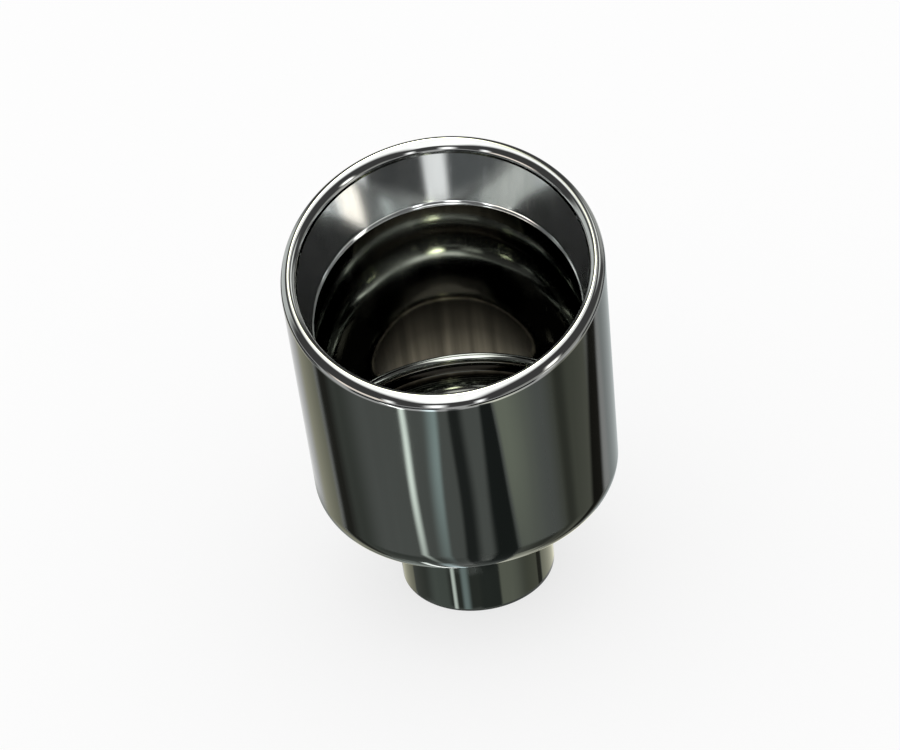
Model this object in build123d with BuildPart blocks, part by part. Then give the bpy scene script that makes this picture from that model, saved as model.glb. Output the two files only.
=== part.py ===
from build123d import *
import math
import os

os.makedirs("parts", exist_ok=True)

# Exhaust tip with a slash-cut, rolled mouth. Millimetres, Z up the axis.
# The origin is the centre of the inlet pipe's open end, and the mouth faces -Y.

# Outer shell
shell_od = 102.0
shell_sheet = 1.0
bottom_dish_deg = 24.0
bottom_corner_r = 11.3
bottom_height = 27.3
crest_height = 122.4
slash_deg = 19.6
seam_height = 50.4
seam_round = 2.4

# Rolled rim of the shell
rim_width = 5.1
rim_flat = 0.1
roll_turn_deg = 84.0
rim_return = 3.3

# Conical liner inside the mouth
liner_sheet = 0.8
liner_step = 0.45
liner_taper = 3.25
liner_depth = 20.2
liner_bend_r = 1.6
liner_foot_width = 2.6

# Inlet pipe
tailpipe_od = 50.8
tailpipe_play = 0.2
pipe_wall = 1.0
pipe_stand = 0.6
pipe_edge_break = 0.25

# Weld bead under the shell
weld_leg = 3.2
weld_crown = 0.5

shell_r = shell_od / 2
pipe_bore = tailpipe_od + tailpipe_play
pipe_r = pipe_bore / 2 + pipe_wall
slash = math.radians(slash_deg)
dish = math.radians(bottom_dish_deg)
sheet_rise = shell_sheet / math.cos(dish)
rim_round = (rim_width - rim_flat) / 2
rim_mid_r = shell_r - rim_width / 2
mouth_r = shell_r - rim_width
curl_r = mouth_r + shell_sheet
curl_round = rim_round - shell_sheet
top_height = crest_height + shell_od
pipe_length = bottom_height + sheet_rise + pipe_stand
seam_r = shell_r - shell_sheet / 2


def slash_plane(below_crest):
    """Plane parallel to the mouth, the given distance below its crest along the axis."""
    return Plane(
        origin=(0, 0, crest_height - below_crest),
        x_dir=(1, 0, 0),
        z_dir=(0, -math.sin(slash), math.cos(slash)),
    )


def dish_height(radius):
    """Height of the shell's dished underside at a radius."""
    return bottom_height + (radius - pipe_r) * math.tan(dish)


def slash_ellipse(radius):
    """Sketch of an upright cylinder's section on a plane parallel to the mouth."""
    return Ellipse(radius, radius / math.cos(slash))


def roll(steps):
    """Angles round one side of the roll, from its widest point up to its crest."""
    return [math.radians(roll_turn_deg) * step / steps for step in range(steps + 1)]


# Crest of the rolled rim: the flare of its inner side, cut from its outer side
with BuildPart() as rim_flare:
    for angle in roll(7):
        with BuildSketch(slash_plane(rim_round * (1 - math.sin(angle)))):
            slash_ellipse(rim_mid_r - rim_flat / 2 - rim_round * math.cos(angle))
    loft(ruled=True)

with BuildPart() as rim_crest:
    for angle in roll(7):
        with BuildSketch(slash_plane(rim_round * (1 - math.sin(angle)))):
            slash_ellipse(rim_mid_r + rim_flat / 2 + rim_round * math.cos(angle))
    loft(ruled=True)
    add(rim_flare.part, mode=Mode.SUBTRACT)

# Groove inside the rolled rim: its top, and the core that the free edge leaves
with BuildPart() as groove_cap:
    for angle in roll(3):
        with BuildSketch(slash_plane(rim_round - curl_round * math.sin(angle))):
            slash_ellipse(rim_mid_r + rim_flat / 2 + curl_round * math.cos(angle))
    loft(ruled=True)

with BuildPart() as groove_core:
    with BuildSketch(Plane.XY.offset(bottom_height)):
        Circle(curl_r)
    extrude(amount=top_height)
    split(bisect_by=slash_plane(rim_return), keep=Keep.TOP)
    split(bisect_by=slash_plane(rim_round), keep=Keep.BOTTOM)

with BuildPart() as groove_flare:
    for angle in roll(3):
        with BuildSketch(slash_plane(rim_round - curl_round * math.sin(angle))):
            slash_ellipse(rim_mid_r - rim_flat / 2 - curl_round * math.cos(angle))
    loft(ruled=True)

# Space enclosed by the shell
with BuildPart() as shell_space:
    with BuildSketch(Plane.XZ) as space_half:
        with BuildLine():
            Polyline(
                (0, dish_height(0) + sheet_rise),
                (shell_r - shell_sheet, dish_height(shell_r - shell_sheet) + sheet_rise),
                (shell_r - shell_sheet, top_height),
                (0, top_height),
                close=True,
            )
        make_face()
        space_corner = space_half.vertices().group_by(Axis.X)[-1].sort_by(Axis.Y)[0]
        fillet(space_corner, bottom_corner_r - shell_sheet)
    revolve(axis=Axis.Z)
    split(bisect_by=slash_plane(rim_round), keep=Keep.BOTTOM)
    add(groove_cap.part)
    add(groove_core.part, mode=Mode.SUBTRACT)
    add(groove_flare.part, mode=Mode.SUBTRACT)

# Shell: tube, rounded bottom and rolled rim in one sheet, with a raised seam inside
with BuildPart() as outer_shell:
    with BuildSketch(Plane.XZ) as shell_half:
        with BuildLine():
            Polyline(
                (0, dish_height(0)),
                (shell_r, dish_height(shell_r)),
                (shell_r, top_height),
                (0, top_height),
                close=True,
            )
        make_face()
        shell_corner = shell_half.vertices().group_by(Axis.X)[-1].sort_by(Axis.Y)[0]
        fillet(shell_corner, bottom_corner_r)
    revolve(axis=Axis.Z)
    split(bisect_by=slash_plane(rim_round), keep=Keep.BOTTOM)
    with BuildSketch(Plane.XY.offset(dish_height(shell_r) + sheet_rise)):
        Circle(mouth_r)
    extrude(amount=top_height, mode=Mode.SUBTRACT)
    add(rim_crest.part)
    add(shell_space.part, mode=Mode.SUBTRACT)
    with BuildSketch(Plane.XY):
        Circle(pipe_r)
    extrude(amount=bottom_height + bottom_corner_r, mode=Mode.SUBTRACT)
    with BuildSketch(Plane.XZ):
        with BuildLine():
            seam_low = (seam_r, seam_height - seam_round)
            seam_crest = (seam_r - seam_round, seam_height)
            seam_high = (seam_r, seam_height + seam_round)
            ThreePointArc(seam_low, seam_crest, seam_high)
            Line(seam_high, seam_low)
        make_face()
    revolve(axis=Axis.Z)
outer_shell.part.label = "outer_shell"

# Liner: cone under the rolled rim, its foot turned out
liner_top_r = mouth_r + liner_step
liner_foot_r = liner_top_r - liner_taper
liner_slope = math.atan(liner_taper / (liner_depth - rim_return))
liner_gauge = liner_sheet / math.cos(liner_slope)
bend_tangent = liner_bend_r / math.tan((math.pi / 2 - liner_slope) / 2)
bend_mid_r = liner_foot_r + bend_tangent


def bend(radius, steps):
    """Radius and depth of points round the liner's foot, from its cone to its flat end."""
    turn = [liner_slope + (math.pi / 2 - liner_slope) * step / steps for step in range(steps + 1)]
    return [
        (bend_mid_r - radius * math.cos(a), liner_depth - liner_bend_r + radius * math.sin(a))
        for a in turn
    ]


with BuildPart() as liner_bore:
    with BuildSketch(slash_plane(rim_return)):
        slash_ellipse(liner_top_r)
    for radius, depth in bend(liner_bend_r, 5):
        with BuildSketch(slash_plane(depth)):
            slash_ellipse(radius)
    loft(ruled=True)

with BuildPart() as liner_core:
    with BuildSketch(slash_plane(rim_return)):
        slash_ellipse(liner_top_r + liner_gauge)
    for radius, depth in bend(liner_bend_r - liner_sheet, 3):
        with BuildSketch(slash_plane(depth)):
            slash_ellipse(radius)
    loft(ruled=True)

with BuildPart() as liner_foot:
    with BuildSketch(slash_plane(liner_depth)):
        slash_ellipse(liner_foot_r + bend_tangent + liner_foot_width - liner_bend_r)
    extrude(amount=liner_sheet)

with BuildPart() as inner_liner:
    add(liner_core.part)
    add(liner_foot.part)
    add(liner_bore.part, mode=Mode.SUBTRACT)
inner_liner.part.label = "inner_liner"

# Inlet pipe: plain tube through the shell's bottom
with BuildPart() as inlet_pipe:
    with BuildSketch(Plane.XY):
        Circle(pipe_r)
        Circle(pipe_bore / 2, mode=Mode.SUBTRACT)
    extrude(amount=pipe_length)
    chamfer(inlet_pipe.edges().filter_by(GeomType.CIRCLE), pipe_edge_break)
inlet_pipe.part.label = "inlet_pipe"

# Weld bead in the corner between the pipe and the shell's underside
with BuildPart() as inlet_weld:
    with BuildSketch(Plane.XZ):
        with BuildLine():
            root = (pipe_r, bottom_height)
            low = (pipe_r, bottom_height - weld_leg)
            far = (pipe_r + weld_leg * math.cos(dish), bottom_height + weld_leg * math.sin(dish))
            lean = math.pi / 4 - dish / 2
            crown = (
                (low[0] + far[0]) / 2 + weld_crown * math.cos(lean),
                (low[1] + far[1]) / 2 - weld_crown * math.sin(lean),
            )
            Line(root, low)
            ThreePointArc(low, crown, far)
            Line(far, root)
        make_face()
    revolve(axis=Axis.Z)
inlet_weld.part.label = "inlet_weld"

export_step(outer_shell.part, "parts/outer_shell.step")
export_step(inner_liner.part, "parts/inner_liner.step")
export_step(inlet_pipe.part, "parts/inlet_pipe.step")
export_step(inlet_weld.part, "parts/inlet_weld.step")
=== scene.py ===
import math

import bpy
import numpy as np
from bpy.props import FloatProperty, FloatVectorProperty, IntProperty, PointerProperty
from mathutils import Matrix, Vector


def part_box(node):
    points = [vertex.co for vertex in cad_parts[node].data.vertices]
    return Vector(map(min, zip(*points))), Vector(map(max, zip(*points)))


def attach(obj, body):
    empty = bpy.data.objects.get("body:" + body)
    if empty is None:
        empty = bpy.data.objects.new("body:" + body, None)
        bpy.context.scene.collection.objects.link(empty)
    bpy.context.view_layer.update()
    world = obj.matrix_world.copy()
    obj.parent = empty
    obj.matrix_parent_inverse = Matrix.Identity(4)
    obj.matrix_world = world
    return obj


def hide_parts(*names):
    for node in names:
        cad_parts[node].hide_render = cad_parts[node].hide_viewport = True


bl_info = {
    "name": "Exhaust Tip",
    "version": (1, 0, 0),
    "blender": (4, 5, 0),
    "location": "3D View > Sidebar > Exhaust Tip",
    "description": "Polished slash-cut exhaust tip with a rolled mouth, on a plain studio floor",
    "category": "Object",
}

# Lengths are in metres. Z runs up the axis, and the low side of the mouth faces -Y.
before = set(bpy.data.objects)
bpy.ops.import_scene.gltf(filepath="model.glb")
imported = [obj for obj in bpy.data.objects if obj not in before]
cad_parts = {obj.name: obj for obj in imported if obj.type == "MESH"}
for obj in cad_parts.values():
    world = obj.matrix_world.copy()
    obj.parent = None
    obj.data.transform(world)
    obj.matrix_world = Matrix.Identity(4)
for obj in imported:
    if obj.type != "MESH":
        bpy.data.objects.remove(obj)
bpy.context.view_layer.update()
shell_low, shell_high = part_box("outer_shell")
pipe_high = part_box("inlet_pipe")[1]

# Attributes on a piece's points, and the shares of them that a stretch of a profile carries. The third is
# painted shade, a near-black laid where shade falls deep inside.
FACE_MARKS = ("inner_face", "rim_face", "shade_face")
OUTER = (0.0, 0.0, 0.0)
INNER = (1.0, 0.0, 0.0)
RIM = (0.0, 1.0, 0.0)
# Shares that lay painted shade in full and in part
DEEP_SHADE = (1.0, 0.0, 1.0)
PART_SHADE = (1.0, 0.0, 0.7)

# Play between the pipe and its hole, and the rounds of the sheets' edges
HOLE_PLAY = 0.00002
ROLL_EDGE = 0.0002
LINER_EDGE = 0.00015
PIPE_EDGE = 0.00025

# Angle in degrees at which the liner's flare turns over into its nose
FLARE_END = 46.0

# Angle in degrees at which the painted shade in the body's inner corner ends
CORNER_SHADE_END = -46

# Shares of the pipe's length, from below, where its painted shade, darkest at the bore's top, has thinned and
# where it ends
PIPE_SHADE_THIN = 0.55
PIPE_SHADE_END = 0.15

# Weld bead: mesh steps across it and along a ripple, and how far a ripple bows, in radians
BEAD_STEPS = 22
RIPPLE_STEPS = 14
RIPPLE_BOW = 1.6

# Slow swell of the weld's crown: share of its height, waves round the bead, phase
BEAD_SWELL = ((0.12, 5, 0.7), (0.08, 13, 0.0))

# Sockets of a Mix node: its share, two numbers or two colours in, a number or a colour out
MIX_SHARE = 0
NUMBER_A, NUMBER_B = 2, 3
COLOUR_A, COLOUR_B = 6, 7
NUMBER_OUT, COLOUR_OUT = 0, 2


class TipShape(bpy.types.PropertyGroup):
    """Sizes of the four pieces."""

    body_radius: FloatProperty(
        name="Body radius", description="Outside of the tube", default=shell_high.x, unit="LENGTH"
    )
    body_sheet: FloatProperty(
        name="Body sheet", description="Thickness of the tube's sheet", default=0.001, unit="LENGTH"
    )
    bottom_height: FloatProperty(
        name="Bottom height", description="Underside at the pipe", default=shell_low.z, unit="LENGTH"
    )
    bottom_dish: FloatProperty(
        name="Bottom dish", description="Slope of the bottom", default=math.radians(24.0), subtype="ANGLE"
    )
    corner_radius: FloatProperty(
        name="Corner radius", description="Round between bottom and wall", default=0.0113, unit="LENGTH"
    )
    seam_height: FloatProperty(
        name="Seam height", description="Raised seam round the inside", default=0.0504, unit="LENGTH"
    )
    seam_round: FloatProperty(
        name="Seam round", description="Round of the raised seam", default=0.0024, unit="LENGTH"
    )
    seam_blend: FloatProperty(
        name="Seam blend", description="Round between the seam and the wall", default=0.0006, unit="LENGTH"
    )
    crest_height: FloatProperty(
        name="Crest height", description="Crest of the rim on the axis", default=0.1224, unit="LENGTH"
    )
    slash: FloatProperty(
        name="Slash", description="Slope of the mouth", default=math.radians(19.6), subtype="ANGLE"
    )
    rim_width: FloatProperty(
        name="Rim width", description="Width of the rolled rim", default=0.0051, unit="LENGTH"
    )
    rim_flat: FloatProperty(
        name="Rim flat", description="Flat on the crest of the roll", default=0.0001, unit="LENGTH"
    )
    rim_return: FloatProperty(
        name="Rim return", description="Depth of the roll's free edge", default=0.0033, unit="LENGTH"
    )
    liner_sheet: FloatProperty(
        name="Liner sheet", description="Thickness of the liner", default=0.0008, unit="LENGTH"
    )
    liner_step: FloatProperty(
        name="Liner step", description="Step back from the roll to the liner", default=0.00045, unit="LENGTH"
    )
    liner_taper: FloatProperty(
        name="Liner taper", description="How far the liner narrows", default=0.00325, unit="LENGTH"
    )
    liner_depth: FloatProperty(
        name="Liner depth", description="Liner's lower end below the crest", default=0.0202, unit="LENGTH"
    )
    liner_bend: FloatProperty(
        name="Liner bend", description="Round of the liner's turned-out foot", default=0.0016, unit="LENGTH"
    )
    liner_flare: FloatProperty(
        name="Liner flare", description="Round of the inward flare", default=0.0016, unit="LENGTH"
    )
    liner_nose: FloatProperty(
        name="Liner nose", description="Round of the lower edge", default=0.0005, unit="LENGTH"
    )
    liner_foot: FloatProperty(
        name="Liner foot", description="Width of the turned-out foot", default=0.0026, unit="LENGTH"
    )
    pipe_radius: FloatProperty(
        name="Pipe radius", description="Outside of the inlet pipe", default=pipe_high.x, unit="LENGTH"
    )
    pipe_wall: FloatProperty(
        name="Pipe wall", description="Thickness of the inlet pipe", default=0.001, unit="LENGTH"
    )
    pipe_top: FloatProperty(
        name="Pipe top", description="Upper end of the inlet pipe", default=pipe_high.z, unit="LENGTH"
    )
    weld_leg: FloatProperty(
        name="Weld leg", description="Leg of the weld bead", default=0.0032, unit="LENGTH"
    )
    weld_crown: FloatProperty(
        name="Weld crown", description="Bulge of the weld bead", default=0.0005, unit="LENGTH"
    )
    weld_ripple: FloatProperty(
        name="Weld ripple", description="Height of the bead's ripples", default=0.00012, unit="LENGTH"
    )
    weld_ripples: IntProperty(
        name="Weld ripples", description="Ripples round the bead", default=84
    )
    around: IntProperty(
        name="Steps around", description="Mesh steps round the axis", default=512
    )


class TipFinish(bpy.types.PropertyGroup):
    """Colours and polish of the metal, some colours painted shade and highlight."""

    # Zone tones of one steel: the dark body tone is painted shade for the dark surroundings it mirrors, the
    # brighter rim a painted highlight, the inner wall painted shade inside
    body: FloatVectorProperty(
        name="Body", description="Dark polish of the tube, its bottom and the pipe",
        default=(0.058, 0.0645, 0.059), subtype="COLOR",
    )
    rim: FloatVectorProperty(
        name="Rim", description="Brighter polish of the rolled rim",
        default=(0.30, 0.305, 0.30), subtype="COLOR",
    )
    liner: FloatVectorProperty(
        name="Liner", description="Blue-grey satin of the liner",
        default=(0.72, 0.745, 0.74), subtype="COLOR",
    )
    inside: FloatVectorProperty(
        name="Inner wall", description="Inside of the body",
        default=(0.355, 0.37, 0.34), subtype="COLOR",
    )
    heat: FloatVectorProperty(
        name="Heat tint", description="Straw brown in the pipe",
        default=(0.40, 0.345, 0.28), subtype="COLOR",
    )
    bead: FloatVectorProperty(
        name="Weld", description="Darkened brown of the weld bead",
        default=(0.15, 0.135, 0.115), subtype="COLOR",
    )
    # Painted shade: near-black laid under the inner seam, in the inner corner and bottom, and at the top of
    # the pipe's bore
    painted_shade: FloatVectorProperty(
        name="Soot", description="Soot low inside the body and in the pipe",
        default=(0.026, 0.024, 0.020), subtype="COLOR",
    )
    polish: FloatProperty(
        name="Polish", description="Roughness of clean polish", default=0.05, subtype="FACTOR"
    )
    satin: FloatProperty(
        name="Satin", description="Roughness of the liner", default=0.12, subtype="FACTOR"
    )
    raw: FloatProperty(
        name="Raw", description="Roughness inside the pipe", default=0.38, subtype="FACTOR"
    )
    cast: FloatProperty(
        name="Cast", description="Roughness of the weld bead", default=0.24, subtype="FACTOR"
    )
    haze: FloatProperty(
        name="Haze", description="Roughness that handling adds", default=0.06, subtype="FACTOR"
    )


class TipStage(bpy.types.PropertyGroup):
    """Camera, floor and light."""

    floor_colour: FloatVectorProperty(
        name="Floor", description="Pale floor", default=(0.95, 0.95, 0.95), subtype="COLOR"
    )
    floor_glow: FloatProperty(
        name="Floor glow", description="Share of plain white in the floor, as camera and metal see it",
        default=0.7, subtype="FACTOR",
    )
    daylight: FloatProperty(
        name="Daylight", description="Strength of the room's light", default=1.0
    )
    ceiling: FloatProperty(
        name="Ceiling", description="Tone of the room above, as metal shows it", default=0.13
    )
    camera_azimuth: FloatProperty(
        name="Azimuth", description="Camera round the axis", default=math.radians(2.957), subtype="ANGLE"
    )
    camera_elevation: FloatProperty(
        name="Elevation", description="Camera above the mouth", default=math.radians(31.38), subtype="ANGLE"
    )
    camera_distance: FloatProperty(
        name="Distance", description="Camera from the mouth's centre", default=0.59504, unit="LENGTH"
    )
    camera_target: FloatProperty(
        name="Target height", description="Height of the mouth's centre", default=0.1216, unit="LENGTH"
    )
    camera_pan: FloatProperty(
        name="Pan", description="Turn about its own upright", default=math.radians(0.16), subtype="ANGLE"
    )
    camera_tilt: FloatProperty(
        name="Tilt", description="Turn about its own level", default=math.radians(-3.36), subtype="ANGLE"
    )
    camera_roll: FloatProperty(
        name="Roll", description="Turn about its own view", default=math.radians(-7.11), subtype="ANGLE"
    )
    camera_focus_px: FloatProperty(
        name="Focal length", description="Focal length in pixels of the picture", default=1903.34
    )


def line(start, end, count, side=OUTER, last_side=None):
    """Straight stretch of a profile from start up to end, end left out. Points are (radius, height, shear).

    Its shares stay those of its side, or run evenly from them to those of the last side.
    """
    share = np.linspace(0, 1, count, endpoint=False)[:, None]
    step = np.subtract(end, start)
    point = np.array(start) + step * share
    along = np.broadcast_to(step / np.linalg.norm(step[:2]), point.shape)
    sides = np.array(side) + np.subtract(last_side or side, side) * share
    return np.hstack([point, along, sides])


def arc(centre, radius, first, last, count, shear=0.0, side=OUTER):
    """Round stretch of a profile, from one angle up to another, the last left out.

    The point at angle a is the centre plus radius (cos a, sin a).
    """
    angle = np.radians(np.linspace(first, last, count, endpoint=False))
    sense = np.sign(last - first)
    still = np.zeros(count)
    return np.column_stack([
        centre[0] + radius * np.cos(angle),
        centre[1] + radius * np.sin(angle),
        still + shear,
        -sense * np.sin(angle),
        sense * np.cos(angle),
        still,
        *(still + share for share in side),
    ])


def mesh_piece(name, points, normals, sides):
    """Object from a grid of points that closes on itself both ways, with its own normals."""
    rows, columns = points.shape[:2]
    row, column = np.meshgrid(np.arange(rows), np.arange(columns), indexing="ij")
    row_next, column_next = (row + 1) % rows, (column + 1) % columns
    corners = np.stack([
        row * columns + column,
        row * columns + column_next,
        row_next * columns + column_next,
        row_next * columns + column,
    ], -1).reshape(-1)
    mesh = bpy.data.meshes.new(name)
    mesh.vertices.add(rows * columns)
    mesh.vertices.foreach_set("co", points.astype(np.float32).ravel())
    mesh.loops.add(len(corners))
    mesh.loops.foreach_set("vertex_index", corners.astype(np.int32))
    mesh.polygons.add(rows * columns)
    mesh.polygons.foreach_set("loop_start", np.arange(0, len(corners), 4, dtype=np.int32))
    mesh.update(calc_edges=True)
    mesh.polygons.foreach_set("use_smooth", np.ones(rows * columns, bool))
    unit = normals / np.linalg.norm(normals, axis=-1, keepdims=True)
    mesh.normals_split_custom_set_from_vertices(unit.reshape(-1, 3))
    for label, share in zip(FACE_MARKS, sides.T):
        mark = mesh.attributes.new(label, "FLOAT", "POINT")
        mark.data.foreach_set("value", np.repeat(share, columns).astype(np.float32))
    if mesh.validate():
        raise RuntimeError(f"{name} isn't a sound mesh")
    piece = bpy.data.objects.new(name, mesh)
    bpy.context.scene.collection.objects.link(piece)
    return piece


def lathe(name, stretches, around, slope):
    """Closed profile turned about Z and sheared along the mouth.

    A profile point of radius r, height z and shear s at angle a lies at x = r sin a, y = -r cos a and
    height z + s y slope. The normal is the cross product of the steps round the axis and along the profile.
    """
    profile = np.vstack(stretches)
    r, z, s, dr, dz, ds = (profile[:, k:k + 1] for k in range(6))
    angle = np.linspace(0, 2 * np.pi, around, endpoint=False)
    sin_a, cos_a = np.sin(angle), np.cos(angle)
    y = -r * cos_a
    points = np.stack([r * sin_a, y, z + s * y * slope], -1)
    along = np.stack([dr * sin_a, -dr * cos_a, dz + slope * (ds * y - s * dr * cos_a)], -1)
    turn = np.stack([r * cos_a, r * sin_a, s * slope * r * sin_a], -1)
    return mesh_piece(name, points, np.cross(turn, along), profile[:, 6:9])


def place(piece, node, material):
    """Gives a piece its material, hangs it from the root and hides the node that it stands in for."""
    piece.data.materials.append(material)
    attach(piece, "root")
    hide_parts(node)


def node(tree, kind, at, sockets=None, **settings):
    """New shader node at a place in its tree, with its settings and then the values of its sockets."""
    made = tree.nodes.new(kind)
    made.location = at
    for key, value in settings.items():
        setattr(made, key, value)
    for key, value in (sockets or {}).items():
        made.inputs[key].default_value = value
    return made


def wire(tree, source, output, target, socket):
    """Link from a node's output to another node's input."""
    tree.links.new(source.outputs[output], target.inputs[socket])


def new_group(name, inputs, output):
    """Empty shader group that takes a position and named numbers and puts out one number."""
    tree = bpy.data.node_groups.new(name, "ShaderNodeTree")
    tree.interface.new_socket("Position", in_out="INPUT", socket_type="NodeSocketVector")
    for label, default in inputs.items():
        socket = tree.interface.new_socket(label, in_out="INPUT", socket_type="NodeSocketFloat")
        socket.default_value = default
    tree.interface.new_socket(output, in_out="OUTPUT", socket_type="NodeSocketFloat")
    return tree, node(tree, "NodeGroupInput", (-900, 0)), node(tree, "NodeGroupOutput", (600, 0))


def polish_group():
    """Slow waves that a buffing wheel leaves, drawn out along the axis, as a height."""
    if "Buffing Waves" in bpy.data.node_groups:
        return bpy.data.node_groups["Buffing Waves"]
    tree, source, sink = new_group("Buffing Waves", {"Scale": 30.0, "Detail": 1.0}, "Height")
    drawn = node(tree, "ShaderNodeMapping", (-650, 0), {"Scale": (1, 1, 0.45)})
    noise = node(tree, "ShaderNodeTexNoise", (-400, 0))
    wire(tree, source, "Position", drawn, "Vector")
    wire(tree, drawn, "Vector", noise, "Vector")
    wire(tree, source, "Scale", noise, "Scale")
    wire(tree, source, "Detail", noise, "Detail")
    wire(tree, noise, "Fac", sink, "Height")
    return tree


def haze_group():
    """Faint smears and hairlines left by handling, as a mask."""
    if "Handling Haze" in bpy.data.node_groups:
        return bpy.data.node_groups["Handling Haze"]
    tree, source, sink = new_group("Handling Haze", {"Smears": 22.0, "Hairlines": 900.0}, "Mask")
    smear = node(tree, "ShaderNodeTexNoise", (-600, 150), {"Detail": 5.0})
    smear_range = node(tree, "ShaderNodeMapRange", (-350, 150), {"From Min": 0.5, "From Max": 0.75})
    flat = node(tree, "ShaderNodeMapping", (-750, -200), {"Scale": (1, 1, 0.04)})
    hair = node(tree, "ShaderNodeTexNoise", (-550, -200), {"Detail": 2.0})
    hair_range = node(tree, "ShaderNodeMapRange", (-350, -200), {"From Min": 0.58, "From Max": 0.72})
    both = node(tree, "ShaderNodeMath", (-50, 0), {1: 0.5}, operation="MULTIPLY_ADD")
    wire(tree, source, "Position", smear, "Vector")
    wire(tree, source, "Smears", smear, "Scale")
    wire(tree, source, "Position", flat, "Vector")
    wire(tree, flat, "Vector", hair, "Vector")
    wire(tree, source, "Hairlines", hair, "Scale")
    wire(tree, smear, "Fac", smear_range, "Value")
    wire(tree, hair, "Fac", hair_range, "Value")
    wire(tree, hair_range, "Result", both, 0)
    wire(tree, smear_range, "Result", both, 2)
    wire(tree, both, "Value", sink, "Mask")
    return tree


def streak_group():
    """Streaks that drawing leaves along a tube, as a grey from dark to light."""
    if "Drawn Streaks" in bpy.data.node_groups:
        return bpy.data.node_groups["Drawn Streaks"]
    tree, source, sink = new_group("Drawn Streaks", {"Scale": 150.0}, "Tone")
    drawn = node(tree, "ShaderNodeMapping", (-650, 0), {"Scale": (1, 1, 0.05)})
    noise = node(tree, "ShaderNodeTexNoise", (-400, 0), {"Detail": 3.0})
    spread = node(
        tree, "ShaderNodeMapRange", (-100, 0),
        {"From Min": 0.3, "From Max": 0.7, "To Min": 0.35, "To Max": 1.5},
    )
    wire(tree, source, "Position", drawn, "Vector")
    wire(tree, drawn, "Vector", noise, "Vector")
    wire(tree, source, "Scale", noise, "Scale")
    wire(tree, noise, "Fac", spread, "Value")
    wire(tree, spread, "Result", sink, "Tone")
    return tree


def steel(name, finish, tones, roughness, wave, streaks, metal=1.0):
    """Polished steel with buffing waves, handling haze, drawn streaks and painted shade.

    Tones and roughness are for the outer face, the inner face and the rim, streaks are for the first two,
    and wave is the height of the buffing waves.
    """
    material = bpy.data.materials.new(name)
    material.use_nodes = True
    tree = material.node_tree
    shader = tree.nodes["Principled BSDF"]
    shader.inputs["Metallic"].default_value = metal
    outside, inside, rim = ((*tone, 1) for tone in tones)
    position = node(tree, "ShaderNodeTexCoord", (-1300, 0))
    inner, edge, painted_shade = (
        node(tree, "ShaderNodeAttribute", (-1050, 420 + 200 * row), attribute_name=label)
        for row, label in enumerate(FACE_MARKS)
    )
    haze, waves, drawn = (
        node(tree, "ShaderNodeGroup", (-1050, 200 - 200 * row), node_tree=group)
        for row, group in enumerate((haze_group(), polish_group(), streak_group()))
    )
    for effect in (haze, waves, drawn):
        wire(tree, position, "Object", effect, "Position")

    faces = node(
        tree, "ShaderNodeMix", (-750, 550), {COLOUR_A: outside, COLOUR_B: inside}, data_type="RGBA"
    )
    rimmed = node(tree, "ShaderNodeMix", (-500, 450), {COLOUR_B: rim}, data_type="RGBA")
    amount = node(
        tree, "ShaderNodeMapRange", (-500, 820), {"To Min": streaks[0], "To Max": streaks[1]}
    )
    worn = node(tree, "ShaderNodeMix", (-250, 550), data_type="RGBA", blend_type="MULTIPLY")
    # Painted shade: the colour runs towards a near-black where its share lies
    with_painted_shade = node(tree, "ShaderNodeMix", (0, 550), {COLOUR_B: (*finish.painted_shade, 1)}, data_type="RGBA")
    wire(tree, inner, "Fac", faces, MIX_SHARE)
    wire(tree, edge, "Fac", rimmed, MIX_SHARE)
    wire(tree, faces, COLOUR_OUT, rimmed, COLOUR_A)
    wire(tree, inner, "Fac", amount, "Value")
    wire(tree, amount, "Result", worn, MIX_SHARE)
    wire(tree, rimmed, COLOUR_OUT, worn, COLOUR_A)
    wire(tree, drawn, "Tone", worn, COLOUR_B)
    wire(tree, painted_shade, "Fac", with_painted_shade, MIX_SHARE)
    wire(tree, worn, COLOUR_OUT, with_painted_shade, COLOUR_A)
    wire(tree, with_painted_shade, COLOUR_OUT, shader, "Base Color")

    clean = node(
        tree, "ShaderNodeMapRange", (-750, 250), {"To Min": roughness[0], "To Max": roughness[1]}
    )
    keen = node(tree, "ShaderNodeMix", (-620, 250), {NUMBER_B: roughness[2]}, data_type="FLOAT")
    rough = node(tree, "ShaderNodeMath", (-500, 150), {1: finish.haze}, operation="MULTIPLY_ADD")
    wire(tree, inner, "Fac", clean, "Value")
    wire(tree, edge, "Fac", keen, MIX_SHARE)
    wire(tree, clean, "Result", keen, NUMBER_A)
    wire(tree, haze, "Mask", rough, 0)
    wire(tree, keen, NUMBER_OUT, rough, 2)
    wire(tree, rough, "Value", shader, "Roughness")

    bump = node(tree, "ShaderNodeBump", (-500, -250), {"Strength": 1.0, "Distance": wave})
    wire(tree, waves, "Height", bump, "Height")
    wire(tree, bump, "Normal", shader, "Normal")
    return material


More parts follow.
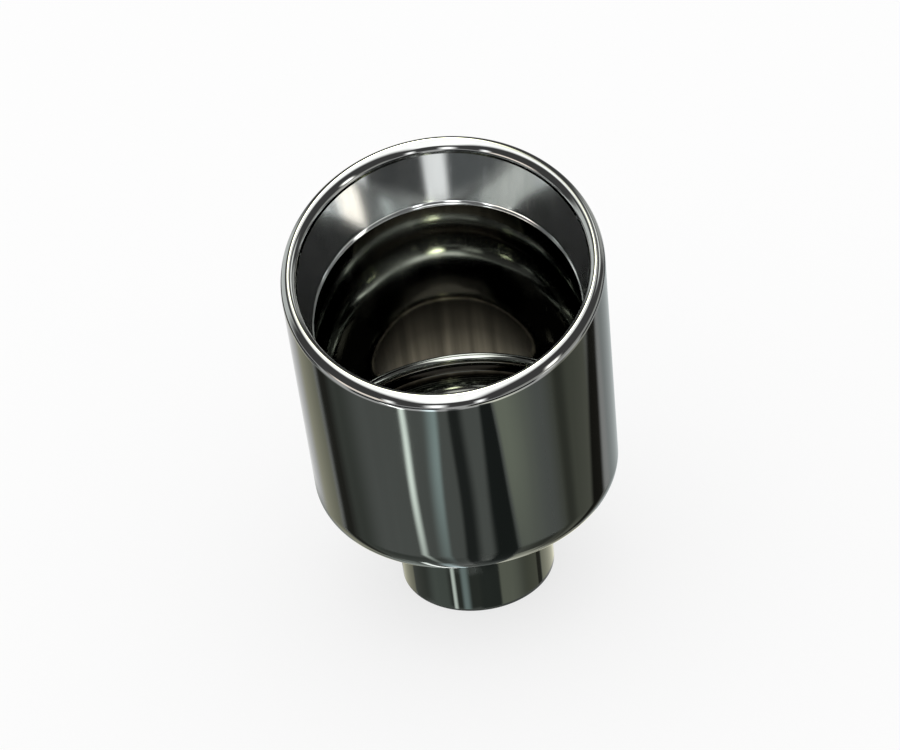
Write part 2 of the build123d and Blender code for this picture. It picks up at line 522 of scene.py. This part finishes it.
class TIP_OT_body(bpy.types.Operator):
    """Make the body: tube, rounded bottom, raised inner seam and rolled rim, formed from one sheet"""

    bl_idname = "tip.body"
    bl_label = "Body"

    def execute(self, context):
        shape, finish = context.scene.tip_shape, context.scene.tip_finish
        piece = lathe("body", self.profile(shape), shape.around, math.tan(shape.slash))
        # The outer, inner and rim tones paint shade and highlight by zone of one sheet
        material = steel(
            "Body steel", finish, tones=(finish.body, finish.inside, finish.rim),
            roughness=(finish.polish, finish.polish, finish.polish), wave=0.0003, streaks=(0.1, 0.06),
        )
        place(piece, "outer_shell", material)
        return {"FINISHED"}

    @staticmethod
    def profile(shape):
        """Profile from the hole out under the bottom, up the wall, over the roll and down the inside.

        The bottom, the corners and the seam aren't sheared, the roll is sheared in full, and the shear of
        the walls grows evenly between them.
        """
        wall, sheet, corner = shape.body_radius, shape.body_sheet, shape.corner_radius
        inside, corner_in = wall - sheet, corner - sheet
        dish = math.tan(shape.bottom_dish)
        hole = shape.pipe_radius + HOLE_PLAY
        rise = sheet / math.cos(shape.bottom_dish)
        foot = shape.bottom_height + (hole - shape.pipe_radius) * dish
        mid_r = wall - corner
        below_z = shape.bottom_height + (mid_r - shape.pipe_radius) * dish
        mid_z = below_z + corner / math.cos(shape.bottom_dish)
        turn = 90 - math.degrees(shape.bottom_dish)
        down = (math.sin(shape.bottom_dish), -math.cos(shape.bottom_dish))

        edge = ROLL_EDGE
        roll = (shape.rim_width - shape.rim_flat) / 2
        curl = roll - sheet
        crest = shape.crest_height
        roll_z = crest - roll
        out_r, in_r = wall - roll, wall - roll - shape.rim_flat
        mouth = wall - shape.rim_width
        end_z = crest - shape.rim_return

        seam_z, seam, blend = shape.seam_height, shape.seam_round, shape.seam_blend
        reach = math.sqrt((seam + blend) ** 2 - (sheet / 2 + blend) ** 2)
        bow = math.degrees(math.asin(reach / (seam + blend)))

        outside = [
            line((hole, foot, 0), (mid_r + corner * down[0], mid_z + corner * down[1], 0), 6),
            arc((mid_r, mid_z), corner, -turn, 0, 22),
            line((wall, mid_z, 0), (wall, roll_z - edge, 1), 9),
            line((wall, roll_z - edge, 1), (wall, roll_z, 1), 1),
        ]
        rim = [
            arc((out_r, roll_z), roll, 0, 90, 20, 1, RIM),
            line((out_r, crest, 1), (in_r, crest, 1), 2, RIM),
            arc((in_r, roll_z), roll, 90, 180, 20, 1, RIM),
            line((mouth, roll_z, 1), (mouth, end_z + edge, 1), 2, RIM),
            arc((mouth + edge, end_z + edge), edge, 180, 270, 4, 1, RIM),
        ]
        groove = [
            line((mouth + edge, end_z, 1), (mouth + sheet - edge, end_z, 1), 2, INNER),
            arc((mouth + sheet - edge, end_z + edge), edge, 270, 360, 4, 1, INNER),
            line((mouth + sheet, end_z + edge, 1), (mouth + sheet, roll_z, 1), 2, INNER),
            arc((in_r, roll_z), curl, 180, 90, 8, 1, INNER),
            line((in_r, roll_z + curl, 1), (out_r, roll_z + curl, 1), 1, INNER),
            arc((out_r, roll_z), curl, 90, 0, 8, 1, INNER),
        ]
        inner_wall = [
            line((inside, roll_z, 1), (inside, seam_z + reach, 0), 9, INNER),
            arc((inside - blend, seam_z + reach), blend, 0, -bow, 5, 0, INNER),
            arc((wall - sheet / 2, seam_z), seam, 180 - bow, 180 + bow, 18, 0, INNER),
            # Painted shade under the seam and down the wall to the corner
            arc((inside - blend, seam_z - reach), blend, bow, 0, 5, 0, DEEP_SHADE),
            line((inside, seam_z - reach, 0), (inside, mid_z, 0), 3, DEEP_SHADE),
        ]
        inner_bottom = [
            # Painted shade in the corner's upper part and on the bottom, not in the corner's lower part
            arc((mid_r, mid_z), corner_in, 0, CORNER_SHADE_END, 16, 0, PART_SHADE),
            arc((mid_r, mid_z), corner_in, CORNER_SHADE_END, -turn, 8, 0, INNER),
            line(
                (mid_r + corner_in * down[0], mid_z + corner_in * down[1], 0), (hole, foot + rise, 0), 6, DEEP_SHADE
            ),
            line((hole, foot + rise, 0), (hole, foot, 0), 2, DEEP_SHADE),
        ]
        return outside + rim + groove + inner_wall + inner_bottom


class TIP_OT_liner(bpy.types.Operator):
    """Make the liner: a short cone under the rolled rim, its lower edge flared and its foot turned out"""

    bl_idname = "tip.liner"
    bl_label = "Liner"

    def execute(self, context):
        shape, finish = context.scene.tip_shape, context.scene.tip_finish
        piece = lathe("liner", self.profile(shape), shape.around, math.tan(shape.slash))
        material = steel(
            "Liner steel", finish, tones=(finish.liner, finish.inside, finish.liner),
            roughness=(finish.satin, finish.satin, finish.polish), wave=0.0003, streaks=(0.15, 0.15),
            metal=0.945,
        )
        place(piece, "inner_liner", material)
        return {"FINISHED"}

    @staticmethod
    def profile(shape):
        """Profile round the nose, out under the foot, up behind the cone and down its face to the flare.

        The flare's arc leaves the cone at its lean and meets the nose's arc at the angle of the flare's end.
        """
        sheet, bend = shape.liner_sheet, shape.liner_bend
        flare, nose, edge = shape.liner_flare, shape.liner_nose, LINER_EDGE
        top_z = shape.crest_height - shape.rim_return
        foot_z = shape.crest_height - shape.liner_depth
        top_r = shape.body_radius - shape.rim_width + shape.liner_step
        foot_r = top_r - shape.liner_taper
        lean = math.atan(shape.liner_taper / (shape.liner_depth - shape.rim_return))
        lean_deg = math.degrees(lean)
        back_r = top_r + sheet / math.cos(lean)

        mid_r = foot_r + bend / math.tan((math.pi / 2 - lean) / 2)
        mid_z = foot_z + bend
        end_r = mid_r + shape.liner_foot - bend
        outer = bend - sheet
        bend_top = (mid_r - outer * math.cos(lean), mid_z - outer * math.sin(lean), 1)

        tip = math.radians(FLARE_END)
        nose_z = foot_z + nose
        drop = nose * math.sin(tip) + flare * (math.sin(tip) - math.sin(lean))
        flare_r = foot_r + (nose_z + drop - foot_z) * math.tan(lean)
        bow = (flare_r - flare * math.cos(lean), nose_z + nose * math.sin(tip) + flare * math.sin(tip))
        nose_r = bow[0] + (flare + nose) * math.cos(tip)

        return [
            arc((nose_r, nose_z), nose, 180 - FLARE_END, 270, 14, 1, RIM),
            line((nose_r, foot_z, 1), (end_r - edge, foot_z, 1), 4),
            arc((end_r - edge, foot_z + edge), edge, 270, 360, 4, 1, INNER),
            line((end_r, foot_z + edge, 1), (end_r, foot_z + sheet - edge, 1), 2, INNER),
            arc((end_r - edge, foot_z + sheet - edge), edge, 0, 90, 4, 1, INNER),
            line((end_r - edge, foot_z + sheet, 1), (mid_r, foot_z + sheet, 1), 3, INNER),
            arc((mid_r, mid_z), outer, 270, 180 + lean_deg, 8, 1, INNER),
            line(bend_top, (back_r, top_z, 1), 8, INNER),
            line((back_r, top_z, 1), (top_r + edge, top_z, 1), 3, INNER),
            arc((top_r + edge, top_z - edge), edge, 90, 180 + lean_deg, 4, 1),
            line((top_r, top_z - edge, 1), (flare_r, nose_z + drop, 1), 12),
            arc(bow, flare, -lean_deg, -FLARE_END, 14, 1, RIM),
        ]


class TIP_OT_pipe(bpy.types.Operator):
    """Make the inlet pipe: a plain tube through the body's bottom"""

    bl_idname = "tip.pipe"
    bl_label = "Inlet pipe"

    def execute(self, context):
        shape, finish = context.scene.tip_shape, context.scene.tip_finish
        piece = lathe("inlet", self.profile(shape), shape.around, 0.0)
        material = steel(
            "Pipe steel", finish, tones=(finish.body, finish.heat, finish.body),
            roughness=(finish.polish, finish.raw, finish.polish), wave=0.0002, streaks=(0.1, 0.8),
        )
        place(piece, "inlet_pipe", material)
        return {"FINISHED"}

    @staticmethod
    def profile(shape):
        """Profile up the outside and down the bore, whose painted shade, darkest at the top, thins towards
        the open end.
        """
        wall, top, edge = shape.pipe_radius, shape.pipe_top, PIPE_EDGE
        bore = wall - shape.pipe_wall
        shade_thin_z, shade_end_z = PIPE_SHADE_THIN * top, PIPE_SHADE_END * top
        return [
            arc((wall - edge, edge), edge, 270, 360, 5),
            line((wall, edge, 0), (wall, top - edge, 0), 16),
            arc((wall - edge, top - edge), edge, 0, 90, 5),
            line((wall - edge, top, 0), (bore + edge, top, 0), 2, INNER),
            arc((bore + edge, top - edge), edge, 90, 180, 5, 0, INNER),
            # Painted shade, darkest at the bore's top, thinning downwards
            line((bore, top - edge, 0), (bore, shade_thin_z, 0), 8, DEEP_SHADE, PART_SHADE),
            line((bore, shade_thin_z, 0), (bore, shade_end_z, 0), 10, PART_SHADE, INNER),
            line((bore, shade_end_z, 0), (bore, edge, 0), 4, INNER),
            arc((bore + edge, edge), edge, 180, 270, 5, 0, INNER),
            line((bore + edge, 0, 0), (wall - edge, 0, 0), 2, INNER),
        ]


class TIP_OT_weld(bpy.types.Operator):
    """Make the weld bead between the pipe and the body's underside"""

    bl_idname = "tip.weld"
    bl_label = "Inlet weld"

    def execute(self, context):
        shape, finish = context.scene.tip_shape, context.scene.tip_finish
        piece = self.bead(shape)
        material = steel(
            "Weld steel", finish, tones=(finish.bead, finish.bead, finish.bead),
            roughness=(finish.cast, finish.cast, finish.cast), wave=0.0, streaks=(0.3, 0.3),
        )
        place(piece, "inlet_weld", material)
        return {"FINISHED"}

    @staticmethod
    def bead(shape):
        """Bead in the corner, closed by a last row in its root.

        Across it, a share t runs from the pipe to the body, on the chord between the legs' ends plus a crown
        of height 4 t (1 - t). Round it, bowed ripples rise and fall as a rectified sine.
        """
        around = shape.weld_ripples * RIPPLE_STEPS
        dish = shape.bottom_dish
        root = np.array([shape.pipe_radius, shape.bottom_height])
        low = root - (0, shape.weld_leg)
        far = root + shape.weld_leg * np.array([math.cos(dish), math.sin(dish)])
        out = np.array([math.cos(math.pi / 4 - dish / 2), -math.sin(math.pi / 4 - dish / 2)])
        angle = np.linspace(0, 2 * np.pi, around, endpoint=False)[None, :]
        t = np.linspace(0, 1, BEAD_STEPS)[:, None]
        bow = 4 * t * (1 - t)
        ripple = np.abs(np.sin(shape.weld_ripples / 2 * angle + RIPPLE_BOW * bow))
        swell = sum(share * np.sin(waves * angle + phase) for share, waves, phase in BEAD_SWELL)
        rise = bow * (shape.weld_crown * (1 + swell) - shape.weld_ripple * (1 - ripple))
        radius = low[0] + (far[0] - low[0]) * t + out[0] * rise
        height = low[1] + (far[1] - low[1]) * t + out[1] * rise
        radius = np.vstack([radius, np.full((1, around), root[0])])
        height = np.vstack([height, np.full((1, around), root[1])])
        points = np.stack([radius * np.sin(angle), -radius * np.cos(angle), height], -1)
        turn = np.roll(points, -1, 1) - np.roll(points, 1, 1)
        along = np.roll(points, -1, 0) - np.roll(points, 1, 0)
        # The crown's first and last rows keep to its own slope
        along[0] = points[1] - points[0]
        along[-2] = points[-2] - points[-3]
        return mesh_piece("weld", points, np.cross(turn, along), np.zeros((BEAD_STEPS + 1, 3)))


# Cards that only the metal shows: mesh steps across one, along a floor strip and up a screen, and the UV map
CARD_STEPS = 17
STRIP_STEPS = 41
SCREEN_STEPS = 9
CARD_MAP = "share"

# Flat panels above: name, centre, two half sides, colour, strength, fades of sides and ends
PANELS = (
    ("top_panel", (-0.08, -0.42, 1.15), (0.42, 0, 0), (0, 0.86, 0), (1.0, 1.0, 0.99), 3.4, 0.3, 0.15),
    ("rear_panel", (-0.10, 0.48, 1.02), (0.17, 0.05, 0), (0, 0.20, -0.13), (0.99, 1.0, 0.74), 26.0, 0.5, 0.5),
)

# Upright screens: their distance from the axis, the height of the mouth that they face and their lowest edge
SCREEN_REACH = 1.2
SCREEN_EYE = 0.12
SCREEN_FOOT = 0.004

# Name, angles about the axis and elevations in degrees, colour, strength, fades of sides and ends
SCREENS = (
    ("left_screen", (-150, -96, -4, 52), (0.96, 1.0, 0.98), 1.4, 0.25, 0.15),
    ("warm_screen", (-76, -34, 1, 16), (1.0, 0.89, 0.80), 2.8, 0.25, 0.3),
    ("right_low", (24, 118, 0, 17), (1.0, 1.0, 0.95), 0.75, 0.1, 0.25),
    ("right_strip", (50, 64, -7, 40), (1.0, 0.98, 0.94), 5.0, 0.4, 0.3),
    ("right_screen", (114, 152, 0, 45), (0.98, 1.0, 0.96), 0.9, 0.3, 0.3),
    ("right_high", (104, 154, 44, 62), (0.98, 1.0, 0.97), 2.4, 0.35, 0.35),
    ("lamp_left", (-41, -31, 1, 28), (1.0, 1.0, 1.0), 3.6, 0.5, 0.3),
    ("lamp_middle", (-19, -3, 0, 30), (1.0, 1.0, 1.0), 4.5, 0.5, 0.3),
    ("lamp_right", (9, 19, 1, 28), (1.0, 1.0, 1.0), 3.6, 0.5, 0.3),
)

# Distances from the axis and lift of the dim floor further out, and its colour
FAR = (0.34, 5.5, 0.003)
FAR_TONE = (0.88, 0.97, 1.0)

# Name, (angles in degrees, distances, lift), colour, strength, fades at the left, the right and the ends
FLOOR_SECTORS = (
    ("far_left", (-66, -6, *FAR), FAR_TONE, 0.06, 0.1, 0.1, 0.08),
    ("far_right", (5, 52, *FAR), FAR_TONE, 0.015, 0.1, 0.1, 0.08),
    ("side_left", (-142, -82, *FAR), FAR_TONE, 0.08, 0.1, 0.1, 0.08),
    ("side_right", (82, 140, *FAR), FAR_TONE, 0.10, 0.1, 0.1, 0.08),
    # Painted shadow: dim sheets round the foot that the metal mirrors in place of the object's shade on the
    # floor
    ("shadow_under_neck", (-179.9, 179.9, 0.0272, 0.047, 0.0003), (0.95, 1.0, 0.93), 0.35, 0.001, 0.001, 0.1),
    ("shadow_under_left", (-170, 15, 0.040, 0.094, 0.0001), (0.95, 1.0, 0.95), 0.45, 0.3, 0.3, 0.2),
    ("shadow_under_right", (5, 170, 0.040, 0.094, 0.0002), (1.0, 1.0, 0.9), 0.3, 0.2, 0.3, 0.2),
)

# Floor strips: lift of the first and of each one after it, distance without drift, and length of a sway
STRIP_LIFT = 0.0004
LIFT_STEP = 0.0001
DRIFT_END = 0.14
SWAY_LENGTH = 0.11

# Strips that the wall mirrors: near and far distance from it, and fades far off and near it
WALL_REACH = (-0.008, 0.46)
WALL_FAR_FADE = 0.5
WALL_BRIGHT_FADE = 0.27
WALL_DIM_FADE = 0.02

# Name, (first and last angle on the wall, drift of each, sway) in degrees, colour, strength, side fades
WALL_STRIPS = (
    ("left_beige", (-68, -52, 0, 1, 0), (1.0, 0.98, 0.76), 0.85, 0.4, 0.2),
    ("left_dim", (-50, -31, 2, 2, 0), (0.95, 1.0, 0.92), 0.42, 0.2, 0.6),
    ("left_dark", (-53.5, -43.5, 1, 2, 0), (1.0, 0.97, 0.85), 0.12, 0.3, 0.5),
    ("left_bright", (-19.0, -15.4, 1, 1.5, 0.35), (0.97, 1.0, 0.98), 11.5, 0.5, 0.5),
    ("left_blue", (-11.0, -4.8, -0.5, -0.5, 0.4), (0.82, 0.96, 1.0), 3.6, 0.7, 0.3),
    ("front_dark", (-2.0, 4.8, 0, 1, -0.4), (0.95, 1.0, 1.0), 0.2, 0.25, 0.5),
    ("middle_dark", (8.4, 13.9, -0.6, 3.6, 0.2), (0.9, 1.0, 1.0), 0.15, 0.3, 0.12),
    ("right_green", (13.6, 31.0, 3.6, 1.5, 0.2), (0.98, 1.0, 0.85), 2.0, 0.1, 0.85),
    ("right_olive", (31.0, 58.0, 1, 1, 0), (1.0, 1.0, 0.84), 0.6, 0.3, 0.2),
    ("right_dim", (36.0, 44.0, 1, 1, 0), (1.0, 1.0, 0.85), 0.35, 0.4, 0.5),
    ("right_dark", (54.0, 63.5, -3, -1, 0), (1.0, 0.95, 0.8), 0.06, 0.25, 0.3),
    ("right_edge", (63.0, 90.0, 0, 0, 0), (0.93, 1.0, 1.0), 0.7, 0.2, 0.02),
)

# Strips that the neck mirrors, in the same form
NECK_REACH = (0.0, 0.034)
NECK_FAR_FADE = 0.06
NECK_NEAR_FADE = 0.005
NECK_STRIPS = (
    ("neck_beige", (-78, -53, 0, 0, 0), (1.0, 0.98, 0.76), 0.9, 0.2, 0.1),
    ("neck_dark", (-53, -36, 0, 0, 0), (0.95, 1.0, 0.90), 0.36, 0.05, 0.6),
    ("neck_dim", (-42, -19, 0, 0, 0), (0.92, 1.0, 0.94), 0.85, 0.5, 0.2),
    ("neck_bright", (-19.5, -15, 0, 0, 0), (0.97, 1.0, 0.98), 7.0, 0.4, 0.5),
    ("neck_blue", (-13, -4.5, 0, 0, 0), (0.82, 0.96, 1.0), 2.4, 0.4, 0.5),
    ("neck_front", (0, 16.5, 0, 0, 0), (0.92, 1.0, 0.95), 0.28, 0.25, 0.08),
    ("neck_green", (15.8, 51, 0, 0, 0), (1.0, 1.0, 0.84), 1.45, 0.06, 0.9),
    ("neck_olive", (30, 51, 0, 0, 0), (1.0, 1.0, 0.80), 0.66, 0.6, 0.05),
    ("neck_line", (49.5, 55, 0, 0, 0), (1.0, 0.97, 0.80), 0.15, 0.2, 0.2),
    ("neck_edge", (54.5, 86, 0, 0, 0), (1.0, 0.98, 0.78), 1.25, 0.05, 0.1),
)

# Half the floor's side, and the rise of a sight line at which the room is at its dimmest
FLOOR_HALF = 6.0
ROOM_DIM = 0.16

# Width of the picture in pixels
PICTURE_WIDTH = 900


def card_object(name, points):
    """Object from a grid of points, with the grid's two shares as its UV map."""
    rows, columns = points.shape[:2]
    index = np.arange(rows * columns).reshape(rows, columns)
    corners = np.stack([index[:-1, :-1], index[:-1, 1:], index[1:, 1:], index[1:, :-1]], -1).reshape(-1, 4)
    mesh = bpy.data.meshes.new(name)
    mesh.from_pydata(points.reshape(-1, 3).tolist(), [], corners.tolist())
    share = np.stack(np.meshgrid(np.linspace(0, 1, columns), np.linspace(0, 1, rows)), -1).reshape(-1, 2)
    layer = mesh.uv_layers.new(name=CARD_MAP)
    layer.data.foreach_set("uv", share[corners.ravel()].astype(np.float32).ravel())
    card = bpy.data.objects.new(name, mesh)
    bpy.context.scene.collection.objects.link(card)
    card.visible_camera = False
    card.visible_diffuse = False
    card.visible_shadow = False
    return card


def panel(name, centre, across, along):
    """Flat card: its centre plus shares from -1 to 1 of two half sides."""
    u, v = np.meshgrid([-1.0, 1.0], [-1.0, 1.0])
    points = np.array(centre) + u[..., None] * np.array(across) + v[..., None] * np.array(along)
    return card_object(name, points)


def screen(name, first, last, low, high):
    """Upright card on an arc about the axis, between two angles and two elevations seen from the mouth.

    A point at angle a and elevation e stands at reach (sin a, -cos a), reach tan e above the mouth.
    """
    angle = np.radians(np.linspace(first, last, CARD_STEPS))
    rise = SCREEN_REACH * np.tan(np.radians(np.linspace(low, high, SCREEN_STEPS)))
    height = np.maximum(SCREEN_EYE + rise, SCREEN_FOOT)[:, None]
    x, y = SCREEN_REACH * np.sin(angle), -SCREEN_REACH * np.cos(angle)
    return card_object(name, np.stack(np.broadcast_arrays(x, y, height), -1))


def sector(name, first, last, near, far, lift):
    """Card on the floor between two angles and two distances from the axis, which grow by equal factors.

    A point at angle a and distance d lies at d (sin a, -cos a).
    """
    angle = np.radians(np.linspace(first, last, CARD_STEPS))
    step = np.geomspace(near, far, CARD_STEPS)[:, None]
    x, y = step * np.sin(angle), -step * np.cos(angle)
    return card_object(name, np.stack(np.broadcast_arrays(x, y, lift), -1))


def fan(name, stage, radius, band, near, far, lift):
    """Card on the floor that an upright wall shows as one band from its first to its last angle.

    The wall point at angle a is radius (sin a, -cos a). The sight line to it turns by mirroring in that
    normal, and the card runs along the mirrored line from the near to the far distance. Towards the object
    the band leans over by its two drifts, one for each side, and sways as a sine of the distance.
    """
    first, last, first_drift, last_drift, sway = band
    step = np.linspace(near, far, STRIP_STEPS)[:, None]
    drift = np.linspace(first_drift, last_drift, CARD_STEPS)
    lean = 2 * drift * (1 - step / DRIFT_END)
    swing = sway * np.sin(2 * np.pi * step / SWAY_LENGTH)
    angle = np.radians(np.linspace(first, last, CARD_STEPS) + lean + swing)
    normal = np.stack([np.sin(angle), -np.cos(angle)], -1)
    wall = radius * normal
    reach = stage.camera_distance * math.cos(stage.camera_elevation)
    eye = np.array([math.sin(stage.camera_azimuth), -math.cos(stage.camera_azimuth)]) * reach
    sight = wall - eye
    sight /= np.linalg.norm(sight, axis=-1, keepdims=True)
    away = sight - 2 * np.sum(sight * normal, -1, keepdims=True) * normal
    flat = wall + step[..., None] * away
    return card_object(name, np.concatenate([flat, np.full((*flat.shape[:2], 1), lift)], -1))


def glow_card(card, colour, strength, left, right, ends, near=None):
    """Even light that fades out over shares of the card at its left, its right and both ends.

    The end nearest the object can have a fade of its own.
    """
    material = bpy.data.materials.new(card.name)
    material.use_nodes = True
    tree = material.node_tree
    tree.nodes.clear()
    share = node(tree, "ShaderNodeUVMap", (-900, 0), uv_map=CARD_MAP)
    axes = node(tree, "ShaderNodeSeparateXYZ", (-700, 0))
    wire(tree, share, "UV", axes, "Vector")
    near = ends if near is None else near
    cover = None
    sides = (("X", 0, left), ("X", 1, 1 - right), ("Y", 0, near), ("Y", 1, 1 - ends))
    for row, (axis, start, end) in enumerate(sides):
        fade = node(
            tree, "ShaderNodeMapRange", (-500, -250 * row), {"From Min": start, "From Max": end},
            interpolation_type="SMOOTHSTEP",
        )
        wire(tree, axes, axis, fade, "Value")
        if cover is None:
            cover = fade
            continue
        both = node(tree, "ShaderNodeMath", (-250, -250 * row), operation="MULTIPLY")
        wire(tree, cover, 0, both, 0)
        wire(tree, fade, "Result", both, 1)
        cover = both
    light = node(tree, "ShaderNodeEmission", (100, -100), {"Color": (*colour, 1), "Strength": strength})
    clear = node(tree, "ShaderNodeBsdfTransparent", (100, 100))
    mix = node(tree, "ShaderNodeMixShader", (300, 0))
    sink = node(tree, "ShaderNodeOutputMaterial", (500, 0))
    wire(tree, cover, "Value", mix, 0)
    wire(tree, clear, "BSDF", mix, 1)
    wire(tree, light, "Emission", mix, 2)
    wire(tree, mix, "Shader", sink, "Surface")
    card.data.materials.append(material)


def plain(name, colour, glow):
    """Matt material that the camera and the metal see as mostly plain white, the rest keeping its shadow."""
    material = bpy.data.materials.new(name)
    material.use_nodes = True
    tree = material.node_tree
    shader = tree.nodes["Principled BSDF"]
    shader.inputs["Base Color"].default_value = (*colour, 1)
    shader.inputs["Roughness"].default_value = 0.9
    shader.inputs["Specular IOR Level"].default_value = 0.0
    path = node(tree, "ShaderNodeLightPath", (-900, 300))
    seen = node(tree, "ShaderNodeMath", (-650, 300), operation="ADD")
    through = node(tree, "ShaderNodeMath", (-450, 300), operation="ADD", use_clamp=True)
    share = node(tree, "ShaderNodeMath", (-250, 300), {1: glow}, operation="MULTIPLY")
    white = node(tree, "ShaderNodeEmission", (0, -300))
    mix = node(tree, "ShaderNodeMixShader", (300, 100))
    wire(tree, path, "Is Camera Ray", seen, 0)
    wire(tree, path, "Is Glossy Ray", seen, 1)
    wire(tree, seen, "Value", through, 0)
    wire(tree, path, "Is Transmission Ray", through, 1)
    wire(tree, through, "Value", share, 0)
    wire(tree, share, "Value", mix, 0)
    wire(tree, shader, "BSDF", mix, 1)
    wire(tree, white, "Emission", mix, 2)
    wire(tree, mix, "Shader", tree.nodes["Material Output"], "Surface")
    return material


class TIP_OT_stage(bpy.types.Operator):
    """Set the floor, the light and the camera"""

    bl_idname = "tip.stage"
    bl_label = "Stage"

    def execute(self, context):
        stage = context.scene.tip_stage
        self.floor(context, stage)
        self.room(context, stage)
        self.panels()
        self.strips(stage)
        self.camera(context, stage)
        context.scene.view_settings.view_transform = "Standard"
        return {"FINISHED"}

    @staticmethod
    def floor(context, stage):
        """Flat square floor."""
        half = FLOOR_HALF
        corners = [(-half, -half, 0), (half, -half, 0), (half, half, 0), (-half, half, 0)]
        mesh = bpy.data.meshes.new("floor")
        mesh.from_pydata(corners, [], [(0, 1, 2, 3)])
        floor = bpy.data.objects.new("floor", mesh)
        context.scene.collection.objects.link(floor)
        mesh.materials.append(plain("Pale floor", stage.floor_colour, stage.floor_glow))

    @staticmethod
    def room(context, stage):
        """Plain white light on matt surfaces. In the metal, the room is white low down and dim above."""
        world = bpy.data.worlds.new("Room")
        world.use_nodes = True
        tree = world.node_tree
        light = tree.nodes["Background"]
        light.inputs["Strength"].default_value = stage.daylight
        seen = node(tree, "ShaderNodeTexCoord", (-900, 0))
        axes = node(tree, "ShaderNodeSeparateXYZ", (-700, 0))
        height = node(
            tree, "ShaderNodeMapRange", (-500, 0),
            {"From Min": 0.0, "From Max": ROOM_DIM, "To Min": 1.0, "To Max": stage.ceiling},
            interpolation_type="SMOOTHSTEP",
        )
        path = node(tree, "ShaderNodeLightPath", (-500, 300))
        spread = node(tree, "ShaderNodeMix", (-250, 100), {NUMBER_B: 1.0}, data_type="FLOAT")
        wire(tree, seen, "Generated", axes, "Vector")
        wire(tree, axes, "Z", height, "Value")
        wire(tree, path, "Is Diffuse Ray", spread, MIX_SHARE)
        wire(tree, height, "Result", spread, NUMBER_A)
        wire(tree, spread, NUMBER_OUT, light, "Color")
        context.scene.world = world

    @staticmethod
    def panels():
        """Soft panels and screens round the part, and dim sectors of the floor, those round the foot a
        painted shadow.
        """
        for name, centre, across, along, colour, strength, sides, ends in PANELS:
            glow_card(panel(name, centre, across, along), colour, strength, sides, sides, ends)
        for name, limits, colour, strength, sides, ends in SCREENS:
            glow_card(screen(name, *limits), colour, strength, sides, sides, ends)
        for name, limits, colour, strength, left, right, ends in FLOOR_SECTORS:
            glow_card(sector(name, *limits), colour, strength, left, right, ends)

    @staticmethod
    def strips(stage):
        """Narrow cards on the floor, each laid where a band of the wall or of the neck mirrors it."""
        for step, (name, band, colour, strength, left, right) in enumerate(WALL_STRIPS):
            card = fan(name, stage, shell_high.x, band, *WALL_REACH, STRIP_LIFT + LIFT_STEP * step)
            near = WALL_BRIGHT_FADE if strength > 1 else WALL_DIM_FADE
            glow_card(card, colour, strength, left, right, WALL_FAR_FADE, near)
        for step, (name, band, colour, strength, left, right) in enumerate(NECK_STRIPS):
            card = fan(name, stage, pipe_high.x, band, *NECK_REACH, STRIP_LIFT + LIFT_STEP * step)
            glow_card(card, colour, strength, left, right, NECK_FAR_FADE, NECK_NEAR_FADE)

    @staticmethod
    def camera(context, stage):
        """Camera on a sphere about the mouth's centre, then turned about its own axes."""
        data = bpy.data.cameras.new("camera")
        camera = bpy.data.objects.new("camera", data)
        context.scene.collection.objects.link(camera)
        aim = (
            Matrix.Rotation(stage.camera_azimuth, 4, "Z")
            @ Matrix.Rotation(math.pi / 2 - stage.camera_elevation, 4, "X")
        )
        own = (
            Matrix.Rotation(stage.camera_pan, 4, "Y")
            @ Matrix.Rotation(stage.camera_tilt, 4, "X")
            @ Matrix.Rotation(stage.camera_roll, 4, "Z")
        )
        at = aim @ Vector((0, 0, stage.camera_distance)) + Vector((0, 0, stage.camera_target))
        camera.matrix_world = Matrix.Translation(at) @ aim @ own
        data.sensor_width = 36.0
        data.lens = stage.camera_focus_px / PICTURE_WIDTH * data.sensor_width
        data.clip_start, data.clip_end = 0.01, 50.0
        context.scene.camera = camera


class TIP_PT_panel(bpy.types.Panel):
    """Buttons for the tip's pieces and its stage"""

    bl_idname = "TIP_PT_panel"
    bl_label = "Exhaust Tip"
    bl_space_type = "VIEW_3D"
    bl_region_type = "UI"
    bl_category = "Exhaust Tip"

    def draw(self, context):
        for maker in MAKERS:
            self.layout.operator(maker.bl_idname)
        for group in (context.scene.tip_shape, context.scene.tip_finish, context.scene.tip_stage):
            box = self.layout.box()
            for name in group.__annotations__:
                box.prop(group, name)


GROUPS = {"tip_shape": TipShape, "tip_finish": TipFinish, "tip_stage": TipStage}
MAKERS = (TIP_OT_body, TIP_OT_liner, TIP_OT_pipe, TIP_OT_weld, TIP_OT_stage)
CLASSES = (*GROUPS.values(), *MAKERS, TIP_PT_panel)


def register():
    for entry in CLASSES:
        bpy.utils.register_class(entry)
    for name, group in GROUPS.items():
        setattr(bpy.types.Scene, name, PointerProperty(type=group))


def unregister():
    for name in GROUPS:
        delattr(bpy.types.Scene, name)
    for entry in reversed(CLASSES):
        bpy.utils.unregister_class(entry)


def main():
    register()
    bpy.ops.tip.body()
    bpy.ops.tip.liner()
    bpy.ops.tip.pipe()
    bpy.ops.tip.weld()
    bpy.ops.tip.stage()


if __name__ == "__main__":
    main()
